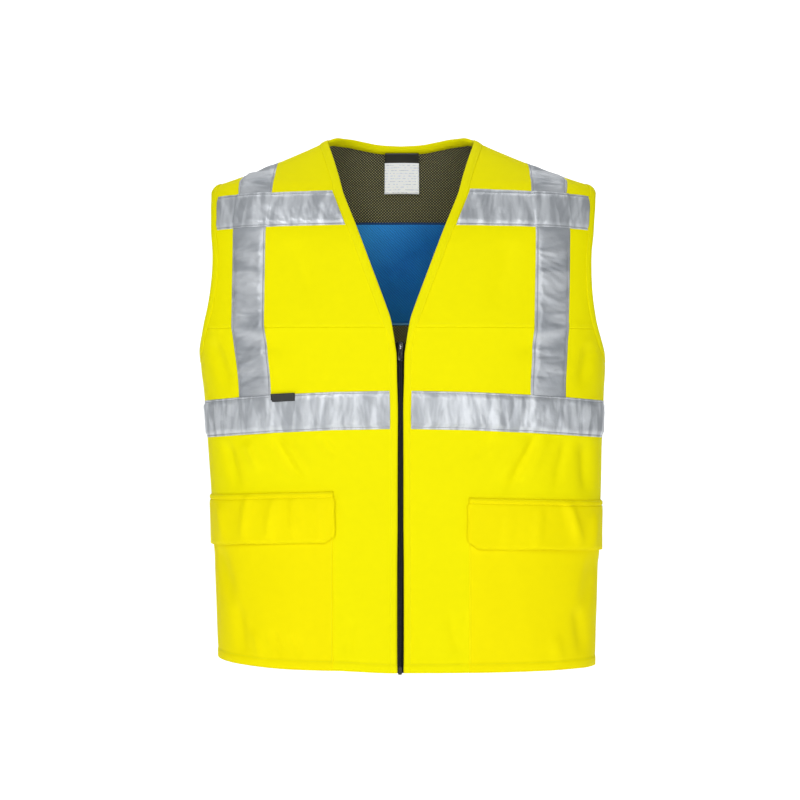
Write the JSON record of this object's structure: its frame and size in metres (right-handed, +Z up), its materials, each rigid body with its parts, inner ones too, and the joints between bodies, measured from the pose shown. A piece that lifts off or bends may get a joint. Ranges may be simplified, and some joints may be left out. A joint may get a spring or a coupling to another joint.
{
  "type": "cooling vest",
  "caption": "Sleeveless hi-vis work vest held in its worn shape: zipped front, V neck, reflective tapes, flap pockets, mesh back lining and a cooling panel inside.",
  "frame": {"origin": "midway between the neck ends of the two shoulder seams, where the vest sits on its wearer", "axes": "+Z up, -Y out of the front, +X towards the wearer's left"},
  "size_m": [0.5786, 0.2576, 0.7494],
  "materials": {
    "yellow_cloth": "smooth woven polyester, hi-vis yellow",
    "binding_cloth": "folded woven strip, hi-vis yellow",
    "reflective_tape": "silver-grey retroreflective cloth tape",
    "mesh_lining": "dark knitted mesh",
    "cooling_cloth": "blue absorbent padded cloth",
    "zip_plastic": "moulded and woven nylon, black",
    "zip_tape": "woven tape, black",
    "zip_metal": "black enamel",
    "label_cloth": "satin ribbon, white",
    "tab_cloth": "woven ribbon, dark grey"
  },
  "bodies": {
    "vest": {"front_panel_left": "yellow_cloth", "front_panel_right": "yellow_cloth", "chest_panel_left": "yellow_cloth", "chest_panel_right": "yellow_cloth", "back_panel": "yellow_cloth", "pocket_left": "yellow_cloth", "pocket_right": "yellow_cloth", "flap_left": "yellow_cloth", "flap_right": "yellow_cloth", "neck_binding": "binding_cloth", "armhole_binding_left": "binding_cloth", "armhole_binding_right": "binding_cloth", "brace_front_left": "reflective_tape", "brace_front_right": "reflective_tape", "brace_back_left": "reflective_tape", "brace_back_right": "reflective_tape", "waist_tape_left": "reflective_tape", "waist_tape_right": "reflective_tape", "waist_tape_back": "reflective_tape", "chest_tape_left": "reflective_tape", "chest_tape_right": "reflective_tape", "back_lining": "mesh_lining", "cooling_panel": "cooling_cloth", "zip_coil": "zip_plastic", "zip_stop": "zip_plastic", "zip_tape_left": "zip_tape", "zip_tape_right": "zip_tape", "zip_slider": "zip_metal", "neck_label": "label_cloth", "side_tab": "tab_cloth"},
    "zip_pull": {"zip_pull": "zip_metal"}
  },
  "joints": [
    {"name": "zip_pull_hinge", "type": "hinge", "parent": "vest", "child": "zip_pull", "pos_m": [0, -0.13332, -0.296], "axis": [-1, 0, 0], "range_deg": [0, 170]}
  ]
}
